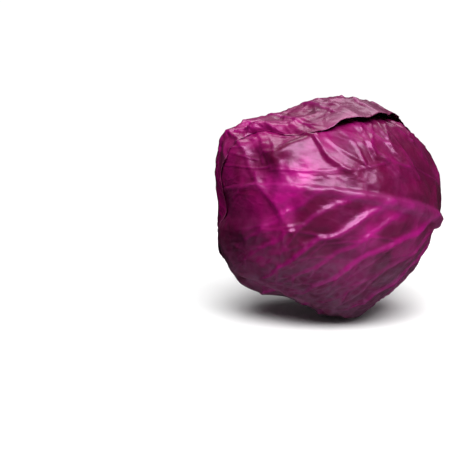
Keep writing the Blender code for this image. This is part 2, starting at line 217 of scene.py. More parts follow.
# Front leaf: its blade rises towards the midrib, and its lower edge is lobed
KEEL_HEIGHT = 0.0020
KEEL_WIDTH = 10.0
LOBE_WIDTH = 9.0
LOBE_LIFT = 0.0017

# Flap of the uppermost leaf, which stands off between two bearings, and its crumpled skin
FLAP_BEARINGS = (42.0, 122.0)
FLAP_ENDS = 22.0
FLAP_LIFT = 0.0038
FLAP_START = 0.66
FLAP_CREASE_HEIGHT = 0.0030
FINE_CREASE_SIZE = 0.010
FINE_CREASE_HEIGHT = 0.0005

# Fit of the laid leaves to the head's size
FIT_SAMPLES = 1600
FIT_SPREAD = 11.0
FIT_ABOVE = -0.0004
FIT_AT_ONCE = 4000  # vertices

# Where the leaf tips gather, beyond the end of the head
GATHERED_TIPS = Vector((-0.99, 0.03, 0.14)).normalized()
TIPS_SPREAD = 24.0
TIPS_STAND_OUT = 0.0008
TIPS_PRESSED = 0.85

# Stalk: it stands in a pit of the heart, this far round it in degrees
STALK_PIT = 10.5
STALK_PIT_RADIUS = 0.0610
STUMP_RADIUS = 0.0143
STUMP_END = 0.0853
STUMP_POINTS = 70
STUMP_PROFILE = (  # height over the middle of the head, and radius
    (0.0630, 0.0000), (0.0632, 0.0104), (0.0700, 0.0118), (0.0780, 0.0134),
    (0.0826, 0.0143), (0.0842, 0.0142), (0.0850, 0.0136), (0.0853, 0.0126),
    (0.0850, 0.0090), (0.0846, 0.0050), (0.0845, 0.0000),
)

# Colours of the skin, with painted shade, painted light and painted sheen among them
DEEP_SKIN = (0.085, 0.0002, 0.022, 1.0)
FULL_SKIN = (0.205, 0.0004, 0.080, 1.0)
# Bright and dark skin: partly the skin's own tone, partly a painted pool of light and painted shade
BRIGHT_SKIN_AND_PAINTED_LIGHT = (0.40, 0.0015, 0.185, 1.0)
DARK_SKIN_AND_PAINTED_SHADE = (0.045, 0.0002, 0.014, 1.0)
# Painted shade in the hollows of creases, and in the fold valleys of the dry flap
HOLLOW_PAINTED_SHADE = (0.060, 0.0003, 0.022, 1.0)
FOLD_PAINTED_SHADE = (0.090, 0.0006, 0.034, 1.0)
# Painted shade, darker low on the head
LOW_PAINTED_SHADE = (0.070, 0.0004, 0.026, 1.0)
# Waxy bloom, and a painted sheen where it lies low on the head and on the flap's crests
BLOOM_AND_PAINTED_SHEEN = (0.084, 0.044, 0.066, 1.0)
NET_SKIN = (0.17, 0.07, 0.14, 1.0)
VEIN_SKIN = (0.28, 0.0015, 0.145, 1.0)
RIB_SKIN = (0.36, 0.02, 0.20, 1.0)
FOOT_SKIN = (0.45, 0.34, 0.36, 1.0)
EDGE_SKIN = (0.26, 0.08, 0.15, 1.0)
GLEAM_TINT = (1.0, 0.25, 0.84, 1.0)

# Colours of the cut stalk
GREENISH_SIDE = (0.50, 0.46, 0.36, 1.0)
PURPLISH_SIDE = (0.46, 0.30, 0.36, 1.0)
PALE_PITH = (0.62, 0.56, 0.38, 1.0)
PITH_RING = (0.42, 0.34, 0.19, 1.0)
PITH_STAIN = (0.30, 0.21, 0.10, 1.0)
PITH_MIDDLE = (0.70, 0.66, 0.52, 1.0)
BROWNED_RIM = (0.26, 0.17, 0.09, 1.0)

# Floor, light and camera
FLOOR_WIDTH = 1.6
FLOOR_BEHIND = 0.45
FLOOR_IN_FRONT = 0.34
FLOOR_GREY = (0.88, 0.88, 0.88, 1.0)
CARD_PLACE = Vector((-0.105, -0.08, 0.085))
CARD_DEPTH = 0.34
CARD_HEIGHT = 0.168
CARD_BLACK = (0.01, 0.01, 0.01, 1.0)
WORLD_LIGHT = 0.17
WORLD_GLEAM = 0.024  # what reflections see of the world
WORLD_SEEN = 1.05  # what the camera sees of it
LIGHTS_AIM = Vector((0.03, 0.0, 0.08))
SOFTBOX_PLACE = Vector((-0.01, -0.66, 0.96))
SOFTBOX_SIZE = (1.30, 0.52)
SOFTBOX_POWER = 20.0
OVERHEAD_PLACE = Vector((0.16, -0.34, 1.08))
OVERHEAD_SIZE = (1.2, 1.2)
OVERHEAD_POWER = 12.0
BACK_LIGHT_PLACE = Vector((0.10, 0.60, 0.95))
BACK_LIGHT_SIZE = (1.0, 0.5)
BACK_LIGHT_POWER = 5.0
CAMERA_ELEVATION = math.radians(12.6)
CAMERA_ANGLE = math.radians(15.5)
CAMERA_DISTANCE = 1.2
CAMERA_LEFT = 0.0749
CAMERA_BELOW = 0.0124


# Fields and noise
def smooth_step(low, high, value):
    """0 below the low value and 1 above the high one, with a smooth rise between them."""
    share = np.clip((value - low) / (high - low), 0.0, 1.0)
    return share * share * (3.0 - 2.0 * share)


def soft_noise(points, size, seed):
    """Smooth noise between -1 and 1 over points in space, with features of the given size."""
    place = points / size + seed * 17.31
    cell = np.floor(place)
    f = place - cell
    f = f * f * f * (f * (f * 6.0 - 15.0) + 10.0)
    total = 0.0
    for corner in range(8):
        step = np.array([corner & 1, corner >> 1 & 1, corner >> 2 & 1], float)
        at = cell + step
        value = np.sin(at @ np.array([127.1, 311.7, 74.7])) * 43758.5453
        weight = np.where(step > 0, f, 1.0 - f).prod(axis=-1)
        total = total + weight * ((value - np.floor(value)) * 2.0 - 1.0)
    return total


def layered_noise(points, size, seed, layers=3):
    """Soft noise with finer and weaker layers added."""
    total = sum(soft_noise(points, size / 2**n, seed + n) / 2**n for n in range(layers))
    return total / sum(1 / 2**n for n in range(layers))


def creased_noise(points, size, seed):
    """Noise with sharp crests, as in a leaf that was folded and pressed. It runs from 0 to 1."""
    bends = [soft_noise(points, size * 1.4, seed + k) for k in (5, 6, 7)]
    bent = points + size * 0.35 * np.stack(bends, -1)
    first = 1.0 - np.abs(soft_noise(bent, size, seed))
    second = 1.0 - np.abs(soft_noise(bent, size * 0.55, seed + 3))
    return np.clip(0.68 * first**2 + 0.32 * second**2, 0.0, 1.0)


def blurred(values, passes):
    """A grid of values after some passes of averaging each with its neighbours."""
    for _ in range(passes):
        padded = np.pad(values, 1, mode="edge")
        around = padded[:-2, 1:-1] + padded[2:, 1:-1] + padded[1:-1, :-2] + padded[1:-1, 2:]
        values = 0.5 * values + 0.125 * around
    return values


def draped(need, passes):
    """Radii of a taut sheet over the needed ones, which it nowhere goes under."""
    radius = need.copy()
    for _ in range(passes):
        radius = np.maximum(need, blurred(radius, 1))
    return radius


# Meshes
def points_of(mesh):
    flat = np.empty(len(mesh.vertices) * 3)
    mesh.vertices.foreach_get("co", flat)
    return flat.reshape(-1, 3)


def put_points(mesh, points):
    mesh.vertices.foreach_set("co", points.astype(np.float32).ravel())
    mesh.update()


def put_attribute(mesh, name, values):
    attribute = mesh.attributes.new(name, "FLOAT", "POINT")
    attribute.data.foreach_set("value", np.asarray(values, np.float32))


def tree_of(points, faces):
    """What rays towards the head meet, for a piece with these points and faces."""
    return BVHTree.FromPolygons([tuple(point) for point in points], [tuple(face) for face in faces])


def face_outwards():
    """Turns the faces of the active piece outwards and shades it smooth."""
    bpy.ops.object.mode_set(mode="EDIT")
    bpy.ops.mesh.select_all(action="SELECT")
    bpy.ops.mesh.normals_make_consistent(inside=False)
    bpy.ops.object.mode_set(mode="OBJECT")
    bpy.ops.object.shade_smooth()


# The head and the places on it
def degrees_from(way, directions):
    """Angle between one way and each direction."""
    return np.degrees(np.arccos(np.clip(directions @ np.array(way), -1.0, 1.0)))


def summed(patches, directions, start):
    """A start value with smooth patches added, in each direction from the middle of the head."""
    total = np.full(directions.shape[:-1], start)
    for way, spread, amount in patches:
        total += amount * np.exp(-(degrees_from(way.normalized(), directions) / spread) ** 2)
    return total


def head_radius(directions):
    """Radius of the whole head in each direction, its uppermost leaves included."""
    return summed(SWELLINGS, directions, HEAD_RADIUS)


def points_round(directions, radius):
    """Points at the given distances from the middle of the head."""
    return np.array(HEAD_MIDDLE) + directions * radius[..., None]


def leaf_frame(step):
    """The middle of a leaf's blade as a direction, and the directions towards its tip and side."""
    front = Vector((0.0, -1.0, 0.0))
    front = (front - STALK_WAY * front.dot(STALK_WAY)).normalized()
    up = front.cross(STALK_WAY).normalized()
    turn = math.radians(FRONT_LEAF_AZIMUTH - TURN_PER_LEAF * step)
    outward = front * math.cos(turn) + up * math.sin(turn)
    centre_angle = math.radians(LEAF_CENTRE)
    centre = STALK_WAY * math.cos(centre_angle) + outward * math.sin(centre_angle)
    tipward = outward * math.cos(centre_angle) - STALK_WAY * math.sin(centre_angle)
    sideward = up * math.cos(turn) - front * math.sin(turn)
    return np.array(centre), np.array(tipward), np.array(sideward)


def directions_from_plan(axes, x, y):
    """Directions from the middle of the head for points of a leaf's flat plan."""
    centre, tipward, sideward = axes
    distance = np.hypot(x, y)
    scale = np.where(distance > 1e-9, distance, 1.0)
    angle = np.radians(distance)[..., None]
    along = (x / scale)[..., None] * sideward + (y / scale)[..., None] * tipward
    return np.cos(angle) * centre + np.sin(angle) * along


def reach(outline, bearing):
    """Reach of a leaf at a bearing, on a smooth curve through its outline's points."""
    bearings, reaches = np.array(outline, float).T
    slopes = np.gradient(reaches, bearings)
    slopes[0] = slopes[-1] = 0.0
    bearing = np.clip(bearing, bearings[0], bearings[-1])
    span = np.clip(np.searchsorted(bearings, bearing) - 1, 0, len(bearings) - 2)
    width = bearings[span + 1] - bearings[span]
    f = (bearing - bearings[span]) / width
    return ((2 * f**3 - 3 * f**2 + 1) * reaches[span]
            + (f**3 - 2 * f**2 + f) * width * slopes[span]
            + (3 * f**2 - 2 * f**3) * reaches[span + 1]
            + (f**3 - f**2) * width * slopes[span + 1])


def inside_leaf(leaf, directions):
    """How far each direction lies inside a leaf's edge, in degrees."""
    centre, tipward, sideward = leaf_frame(leaf.step)
    side = directions @ sideward
    bearing = np.degrees(np.arctan2(np.abs(side), directions @ tipward))
    edge = np.where(side > 0, reach(leaf.rising, bearing), reach(leaf.falling, bearing))
    return edge - degrees_from(centre, directions)


def heart_radius(directions):
    """Radius of the heart: what the wrapper leaves over it leave of the head."""
    radius = head_radius(directions)
    for leaf in LEAVES:
        inside = inside_leaf(leaf, directions)
        radius -= LEAF_ROOM * smooth_step(-ROOM_WIDTH / 2, ROOM_WIDTH / 2, inside)
    return radius


def reach_outwards(trees, directions):
    """How far from the middle of the head what is already laid reaches in each direction."""
    flat = directions.reshape(-1, 3)
    found = np.full(len(flat), LEAST_RADIUS)
    for index, direction in enumerate(flat):
        way = Vector(direction)
        start = HEAD_MIDDLE + way * OUTSIDE
        for tree in trees:
            hit = tree.ray_cast(start, -way)[0]
            if hit is not None:
                found[index] = max(found[index], (hit - HEAD_MIDDLE).length)
    return found.reshape(directions.shape[:-1])


# Veins as lines on the plan
def smooth_line(points, count):
    """Points evenly spread along a smooth curve through the given ones."""
    points = np.array(points, float)
    ends = np.vstack([2 * points[0] - points[1], points, 2 * points[-1] - points[-2]])
    curve = []
    for a, b, c, d in zip(ends, ends[1:], ends[2:], ends[3:]):
        for t in np.linspace(0, 1, 8, endpoint=False):
            curve.append(0.5 * (2 * b + (c - a) * t + (2 * a - 5 * b + 4 * c - d) * t**2
                                + (3 * b - a - 3 * c + d) * t**3))
    curve.append(points[-1])
    curve = np.array(curve)
    along = np.concatenate([[0], np.cumsum(np.hypot(*np.diff(curve, axis=0).T))])
    at = np.linspace(0, along[-1], count)
    return np.stack([np.interp(at, along, curve[:, 0]), np.interp(at, along, curve[:, 1])], 1)


def wandering(points, seed):
    """A vein's line through the given points with small bends, which leave its start in place."""
    line = smooth_line(points, VEIN_POINTS)
    at = np.column_stack([line, np.zeros(len(line))])
    bend = np.stack([soft_noise(at, VEIN_BEND_LENGTH, seed + k) for k in (0, 5)], 1)
    return line + VEIN_BEND * bend * np.minimum(1.0, 4.0 * np.linspace(0, 1, len(line)))[:, None]


def family_of_veins(leaf, chance):
    """Side veins for a leaf: they leave the midrib at a narrow angle and bend out to the edge."""
    lines = []
    tip = leaf.rising[0][1]
    for sign, outline in ((1, leaf.rising), (-1, leaf.falling)):
        for k in range(VEINS_A_SIDE):
            share = (k + 0.5) / VEINS_A_SIDE
            foot = LEAF_BASE + 4 + (tip - LEAF_BASE - 12) * (0.25 * share + 0.75 * share**1.9)
            foot += chance.uniform(-2.0, 2.0)
            bearing = 140 - 122 * share + chance.uniform(-4, 4)
            far = 0.97 * float(reach(outline, bearing))
            end_x = sign * far * math.sin(math.radians(bearing))
            end_y = far * math.cos(math.radians(bearing))
            bend = 0.72 + chance.uniform(-0.06, 0.06)
            lines.append([(end_x * t, foot + (end_y - foot) * t**bend) for t in np.linspace(0, 1, 8)])
    return lines


def forks_of(line, chance):
    """Branches that leave a side vein on both sides before it reaches the edge."""
    branches = []
    length = np.hypot(*(line[-1] - line[0]))
    for share in FORK_PLACES:
        for turn in (-1, 1):
            if chance.uniform() < FORK_LEFT_OUT:
                continue
            at = min(share + chance.uniform(-0.07, 0.07), 0.95)
            index = int(at * (len(line) - 2))
            start, way = line[index], line[index + 1] - line[index]
            way = way / np.hypot(*way)
            swing = math.radians(turn * chance.uniform(*FORK_SWING))
            reach_out = length * (1 - at) * 0.55 + chance.uniform(5, 11)
            points = [start]
            for _ in range(5):
                c, s = math.cos(swing), math.sin(swing)
                way_now = np.array([way[0] * c - way[1] * s, way[0] * s + way[1] * c])
                points.append(points[-1] + way_now * reach_out / 5)
                swing *= 0.86
            branches.append(smooth_line(points, 12))
    return branches


def nearness(points, line):
    """Distance of each point from a line, the share of the line that lies before its nearest
    place, and a number whose sign tells the two sides of the line apart."""
    best = np.full(len(points), 99.0)
    share = np.zeros(len(points))
    turned = np.zeros(len(points))
    for k, (a, b) in enumerate(zip(line, line[1:])):
        way = b - a
        along = np.clip((points - a) @ way / max(way @ way, 1e-9), 0.0, 1.0)
        off = points - a - along[:, None] * way
        away = np.hypot(*off.T)
        closer = away < best
        best = np.where(closer, away, best)
        share = np.where(closer, (k + along) / (len(line) - 1), share)
        turned = np.where(closer, way[0] * off[:, 1] - way[1] * off[:, 0], turned)
    return best, share, turned


def ridges(plan, lines, kind, strengths=None):
    """Relief of the veins drawn on a plan: the height of their ridges, a mask that is 1 on each
    crest, the distance to the nearest vein, and the steps of the blade on the base side of each."""
    flat = plan.reshape(-1, 2)
    rise = np.zeros(len(flat))
    mask = np.zeros(len(flat))
    steps = np.zeros(len(flat))
    nearest = np.full(len(flat), 30.0)
    margin = 5.0 * kind.reach if kind.step else 9.0
    for line, strength in zip(lines, strengths or (1.0,) * len(lines)):
        in_box = (flat > line.min(0) - margin) & (flat < line.max(0) + margin)
        near = np.nonzero(in_box.all(axis=1))[0]
        if not len(near):
            continue
        away, share, turned = nearness(flat[near], line)
        width = kind.width[0] + (kind.width[1] - kind.width[0]) * share
        height = kind.height[0] + (kind.height[1] - kind.height[0]) * share
        crest = np.exp(-(away / width) ** 2)
        rise[near] = np.maximum(rise[near], strength * height * crest)
        mask[near] = np.maximum(mask[near], (0.3 + 0.7 * strength) * crest * (1 - 0.5 * share))
        nearest[near] = np.minimum(nearest[near], away)
        if kind.step:
            base_side = away * -np.sign(turned) * np.sign(line[-1, 0])
            step = smooth_step(*STEP_EDGE, base_side) * np.exp(-np.abs(base_side) / kind.reach)
            fade = smooth_step(kind.start, kind.start + 0.2, share) * smooth_step(1.0, 0.85, share)
            steps[near] += strength * kind.step * step * fade
    return tuple(values.reshape(plan.shape[:-1]) for values in (rise, mask, nearest, steps))


def cells(plan, size, seed):
    """Distance from each point of the plan to the nearest border between cells of the given size."""
    chance = np.random.RandomState(seed)
    flat = plan.reshape(-1, 2)
    low, high = flat.min(0) - size, flat.max(0) + size
    columns, rows = (np.ceil((high - low) / size)).astype(int)
    tree = KDTree(columns * rows)
    for index in range(columns * rows):
        at = low + size * (np.array([index % columns, index // columns]) + chance.uniform(0.12, 0.88, 2))
        tree.insert((at[0], at[1], 0.0), index)
    tree.balance()
    away = np.empty(len(flat))
    for index, (x, y) in enumerate(flat):
        first, second = tree.find_n((x, y, 0.0), 2)
        away[index] = second[2] - first[2]
    return away.reshape(plan.shape[:-1])


# Leaves
def sheet_object(name, columns, rows):
    """A grid of that many faces, thickened by extruding it.

    Returns it with the flat grid's points and, for each vertex, its place in the grid and whether
    it is on the outer face."""
    bpy.ops.object.select_all(action="DESELECT")
    bpy.ops.mesh.primitive_grid_add(x_subdivisions=columns, y_subdivisions=rows, size=2.0)
    sheet = bpy.context.object
    sheet.name = name
    sheet.data.name = name
    place = sheet.data.attributes.new("place", "INT", "POINT")
    place.data.foreach_set("value", np.arange(len(sheet.data.vertices), dtype=np.int32))
    flat = points_of(sheet.data)
    bpy.ops.object.mode_set(mode="EDIT")
    bpy.ops.mesh.select_all(action="SELECT")
    bpy.ops.mesh.extrude_region()
    bpy.ops.object.mode_set(mode="OBJECT")
    count = len(sheet.data.vertices)
    where = np.empty(count, np.int32)
    sheet.data.attributes["place"].data.foreach_get("value", where)
    raised = np.empty(count, bool)
    sheet.data.vertices.foreach_get("select", raised)
    sheet.data.attributes.remove(sheet.data.attributes["place"])
    return sheet, flat, where, raised


Lay = namedtuple("Lay", "u q bearing away rib x plan directions around near_edge")


def lay_of(leaf, flat, rows, columns):
    """Where each point of a leaf's sheet lies.

    u runs from -1 on the falling side's edge over the midrib to 1 on the rising side's, and q
    from 0 at the base to 1 at the tip. Away is the size of u. Around lies on a plain ball."""
    u = flat[:, 0].reshape(rows + 1, 2 * columns + 1)
    q = (flat[:, 1].reshape(rows + 1, 2 * columns + 1) + 1.0) / 2.0
    axes = leaf_frame(leaf.step)
    side = np.sign(u)
    away = np.abs(u)
    bearing = CORNER_BEARING - (CORNER_BEARING - TIP_BEARING) * q
    sine, cosine = np.sin(np.radians(bearing)), np.cos(np.radians(bearing))

    # Edge, with its scallops
    edge = np.where(u > 0, reach(leaf.rising, bearing), reach(leaf.falling, bearing))
    at_edge = directions_from_plan(axes, side * edge * sine, edge * cosine)
    ragged = layered_noise(at_edge, RAGGED_SIZE, leaf.seed + 40)
    between = np.sin(np.pi * q * SCALLOPS) ** 2
    edge = edge - SCALLOP_DEPTH * (1.0 - between) * smooth_step(0.0, 0.12, q) * (1.0 + ragged)
    edge = edge + RAGGED_DEPTH * ragged
    end_x, end_y = edge * sine, edge * cosine

    # Columns over the midrib, and from there to the edge
    rib = MIDRIB_HALF_WIDTH * (1.0 - MIDRIB_NARROWING * q)
    share = MIDRIB_COLUMNS / columns
    beyond = rib + (end_x - rib) * (away - share) / (1.0 - share)
    x = np.where(away < share, rib * away / share, beyond)
    tip = leaf.rising[0][1]
    foot = LEAF_BASE + (tip - LEAF_BASE) * (0.55 * q + 0.45 * q**2)
    y = foot + (end_y - foot) * (x / end_x) ** 1.1
    directions = directions_from_plan(axes, side * x, y)
    near_edge = np.maximum(away, 1.0 - 2.2 * (1.0 - q))
    plan = np.stack([side * x, y], -1)
    return Lay(u, q, bearing, away, rib, x, plan, directions, directions * HEAD_RADIUS, near_edge)


Veins = namedtuple("Veins", "rise mask distance steps pressed branch_rise branch_mask")


def veins_of(leaf, lay):
    """Side veins of a leaf and their branches, and the ribs that press through it from below."""
    chance = np.random.RandomState(leaf.seed)
    pressed = 0.0
    if leaf.name == FRONT_LEAF:
        below = [wandering(points, 3 * k) for k, points in enumerate(FRONT_VEINS_BELOW)]
        above = [wandering(points, 7 * k) for k, points in enumerate(FRONT_VEINS_ABOVE)]
        ribs = [smooth_line(points, 16) for points in FRONT_PRESSED_RIBS]
        laterals = below + above
        rise, mask, distance, steps = ridges(lay.plan, below, FRONT_VEIN_BELOW, BELOW_STRENGTHS)
        upper = ridges(lay.plan, above, FRONT_VEIN_ABOVE, ABOVE_STRENGTHS)
        pressed, pressed_mask, *_ = ridges(lay.plan, ribs, PRESSED_RIB)
        rise = rise + upper[0]
        mask = np.maximum(np.maximum(mask, 0.25 * upper[1]), 0.55 * pressed_mask)
        distance = np.minimum(distance, upper[2] + 4.0)
        steps = steps + upper[3]
    else:
        family = family_of_veins(leaf, chance)
        laterals = [wandering(points, leaf.seed + 3 * k) for k, points in enumerate(family)]
        rise, mask, distance, steps = ridges(lay.plan, laterals, SIDE_VEIN)
    branches = [branch for line in laterals for branch in forks_of(line, chance)]
    branch_rise, branch_mask, *_ = ridges(lay.plan, branches, BRANCH)
    return Veins(rise, mask, distance, steps, pressed, branch_rise, branch_mask)


def flap_of(lay):
    """How far the uppermost leaf's loose margin stands off what is under it."""
    first, last = FLAP_BEARINGS
    starts = smooth_step(first, first + FLAP_ENDS, lay.bearing)
    ends = smooth_step(last, last - FLAP_ENDS, lay.bearing)
    return FLAP_LIFT * starts * ends * (lay.u < 0) * smooth_step(FLAP_START, 1.0, lay.away)


def front_relief(lay, veins):
    """What only the front leaf has: a rise to the midrib, ribs pressed through, a lobed margin."""
    ends = smooth_step(0.0, 0.1, lay.q) * smooth_step(1.0, 0.85, lay.q)
    keel = KEEL_HEIGHT * np.exp(-np.sqrt(lay.x**2 + 5.0) / KEEL_WIDTH) * ends
    lobes = np.sin(np.pi * lay.bearing / LOBE_WIDTH) ** 2 * smooth_step(0.86, 1.0, lay.away)
    lobed = smooth_step(58.0, 70.0, lay.bearing) * smooth_step(120.0, 108.0, lay.bearing) * (lay.u < 0)
    return keel + veins.pressed + LOBE_LIFT * lobes * lobed


def relief_of(leaf, lay, veins):
    """Relief of a leaf: how far its inner face stands off what is under it, its thickness, and
    the masks that its finish reads."""
    uppermost = leaf.name == UPPERMOST_LEAF
    wilted = (lay.u < 0) & uppermost
    cling = wilted * smooth_step(64.0, 48.0, lay.bearing)
    loose_edge = smooth_step(0.82, 1.0, lay.near_edge)
    to_edge = smooth_step(1.0, 0.9, lay.near_edge)
    border = cells(lay.plan, CELL_SIZE, leaf.seed)
    net = np.exp(-(border / NET_WIDTH) ** 2)
    creases = creased_noise(lay.around, CREASE_SIZE, leaf.seed + 9)
    across = smooth_step(0.35, 0.75, lay.away)

    # Blade: puffs between its veins, waves and creases, all held down near the edge
    quilt = QUILT_HEIGHT * (1.0 - np.exp(-border / 1.6)) * smooth_step(0.10, 0.45, lay.away)
    puff = PUFF_HEIGHT * (1.0 - np.exp(-veins.distance / 3.0)) + quilt + veins.steps
    waves = WAVE_HEIGHT * (1.0 + layered_noise(lay.around, WAVE_SIZE, leaf.seed))
    crumple = CREASE_HEIGHT * creases
    lift = EDGE_LIFT * loose_edge * (1.0 + soft_noise(lay.around, EDGE_WAVE_SIZE, leaf.seed + 20))
    if uppermost:
        fine = creased_noise(lay.around, FINE_CREASE_SIZE, leaf.seed + 3)
        folded = across * wilted * smooth_step(8.0, 26.0, lay.bearing)
        crumple = crumple + FLAP_CREASE_HEIGHT * creases * folded
        crumple = crumple + FINE_CREASE_HEIGHT * fine * smooth_step(0.45, 0.7, lay.q) * wilted
        lift = 0.12 * lift + flap_of(lay)
    hold = np.where(wilted, 0.45 + 0.53 * cling, 0.85)
    tight = 1.0 - hold * smooth_step(0.72, 0.98, lay.near_edge) * smooth_step(0.04, 0.16, lay.q)
    body = leaf.depth * (puff + waves + crumple) * tight + lift
    if leaf.name == FRONT_LEAF:
        body = body + front_relief(lay, veins)

    # Outer face: the blade's thickness, veins and midrib
    on_rib = lay.x / lay.rib
    midrib = MIDRIB_HEIGHT * (1.0 - lay.q) ** MIDRIB_FALL + MIDRIB_TIP_HEIGHT
    midrib = midrib * smooth_step(1.0, 0.25, on_rib) * (0.4 + 0.6 * leaf.depth)
    fine_veins = leaf.depth * (veins.rise + veins.branch_rise + NET_HEIGHT * net) * to_edge
    thickness = BLADE * (1.0 - (0.65 + 0.25 * cling) * loose_edge) + fine_veins + midrib

    vein = np.clip(np.maximum(veins.mask, 0.6 * veins.branch_mask), 0, 1)
    dry = 0.8 * across * wilted * (1.0 - 0.8 * cling)
    blotches = layered_noise(lay.around, BLOTCH_SIZE, leaf.seed + 60)
    masks = {
        "vein": vein * to_edge,
        "rib": smooth_step(1.15, 0.55, on_rib) * (0.25 + 0.75 * (1 - lay.q) ** 1.2),
        "foot": smooth_step(0.16, 0.0, lay.q) * smooth_step(0.5, 0.1, lay.away),
        "edge": smooth_step(0.955, 1.0, lay.near_edge) * (1.0 - cling),
        "hollow": np.clip(1.0 - creases, 0, 1),
        "net": net,
        # Own tone, with painted shade at the left end and a painted pool of light at the middle left
        "tone_and_painted_light": summed(PIGMENT_AND_PAINTED_LIGHT, lay.directions, 0.0) + 0.5 * blotches,
        "dry": dry * smooth_step(104.0, 84.0, lay.bearing),
    }
    return blurred(body, 1), thickness, masks


def leaf_blade(leaf, trees):
    """One wrapper leaf as a fine sheet over what is laid so far.

    Returns it, and how far above the floor each of its vertices stays."""
    coarser = 1
    rows, columns = leaf.rows // coarser, leaf.columns // coarser
    sheet, flat, where, raised = sheet_object(leaf.name + "_look", 2 * columns, rows)
    lay = lay_of(leaf, flat, rows, columns)
    need = reach_outwards(trees, lay.directions) + LEAF_GAP
    passes = CLOSE_DRAPE_PASSES if leaf.name == UPPERMOST_LEAF else DRAPE_PASSES
    lie = blurred(draped(need, passes // coarser**2), SOFTEN_PASSES)
    body, thickness, masks = relief_of(leaf, lay, veins_of(leaf, lay))
    inner = points_round(lay.directions, lie + body).reshape(-1, 3)
    outer = points_round(lay.directions, lie + body + thickness).reshape(-1, 3)
    put_points(sheet.data, np.where(raised[:, None], outer[where], inner[where]))

    # What the finish reads
    for key, values in masks.items():
        put_attribute(sheet.data, key, values.reshape(-1)[where])
    corners = np.empty(len(sheet.data.loops), np.int32)
    sheet.data.loops.foreach_get("vertex_index", corners)
    uv = lay.plan.reshape(-1, 2)[where][corners] * METRES_PER_DEGREE
    layer = sheet.data.uv_layers[0]
    layer.name = "plan"
    layer.data.foreach_set("uv", uv.astype(np.float32).ravel())
    face_outwards()

    across = 2 * columns + 1
    corner = (np.arange(rows)[:, None] * across + np.arange(across - 1)[None]).reshape(-1)
    quads = np.stack([corner, corner + 1, corner + across + 1, corner + across], 1)
    trees.append(tree_of(outer, quads))
    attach(sheet, "root")
    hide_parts(leaf.name)
    return sheet, np.where(raised, 0.0, BLADE)


# Fit to the head's size
def fit_of(trees):
    """Directions round the head, and how far what is laid stands inside its true size in each."""
    turns = np.arange(FIT_SAMPLES) + 0.5
    height = 1.0 - 2.0 * turns / FIT_SAMPLES
    angle = turns * math.pi * (3.0 - math.sqrt(5.0))
    level = np.sqrt(1.0 - height**2)
    ways = np.stack([level * np.cos(angle), level * np.sin(angle), height], 1)
    return ways, head_radius(ways) + FIT_ABOVE - reach_outwards(trees, ways)


def settled(directions, radius):
    """Radii with what stands out where the leaf tips gather pressed back to the head's size."""
    over = np.maximum(radius - head_radius(directions) - TIPS_STAND_OUT, 0.0)
    there = np.exp(-(degrees_from(GATHERED_TIPS, directions) / TIPS_SPREAD) ** 4)
    return radius - TIPS_PRESSED * there * over


def pressed_to_size(piece, fit, least_height=None):
    """Moves a laid piece inwards or outwards, smoothly all over, to the head's true size."""
    ways, short = fit
    offset = points_of(piece.data) - np.array(HEAD_MIDDLE)
    radius = np.linalg.norm(offset, axis=1)
    directions = offset / radius[:, None]
    change = np.empty(len(radius))
    spread = math.radians(FIT_SPREAD)
    for start in range(0, len(radius), FIT_AT_ONCE):
        some = slice(start, start + FIT_AT_ONCE)
        angle = np.arccos(np.clip(directions[some] @ ways.T, -1.0, 1.0))
        weight = np.exp(-(angle / spread) ** 2)
        change[some] = weight @ short / weight.sum(axis=1)
    points = points_round(directions, settled(directions, radius * (1.0 + change / HEAD_RADIUS)))
    if least_height is not None:
        points[:, 2] = np.maximum(points[:, 2], least_height)
    put_points(piece.data, points)


# Heart and stalk
def ball(name):
    """The heart: a fine ball in the shape that the wrapper leaves leave."""
    bpy.ops.object.select_all(action="DESELECT")
    bpy.ops.mesh.primitive_uv_sphere_add(segments=128, ring_count=96, radius=1.0)
    heart = bpy.context.object
    heart.name = name
    turn = np.array(STALK_WAY.to_track_quat("Z", "Y").to_matrix())
    ways = points_of(heart.data)
    ways = ways / np.linalg.norm(ways, axis=1)[:, None]
    directions = ways @ turn.T
    from_stalk = np.degrees(np.arccos(np.clip(ways[:, 2], -1, 1)))
    radius = np.where(from_stalk < STALK_PIT, STALK_PIT_RADIUS, heart_radius(directions))
    points = points_round(directions, radius)
    put_points(heart.data, points)
    put_attribute(heart.data, "foot", smooth_step(34.0, 12.0, from_stalk))
    bpy.ops.object.shade_smooth()
    return heart, tree_of(points, [face.vertices for face in heart.data.polygons])


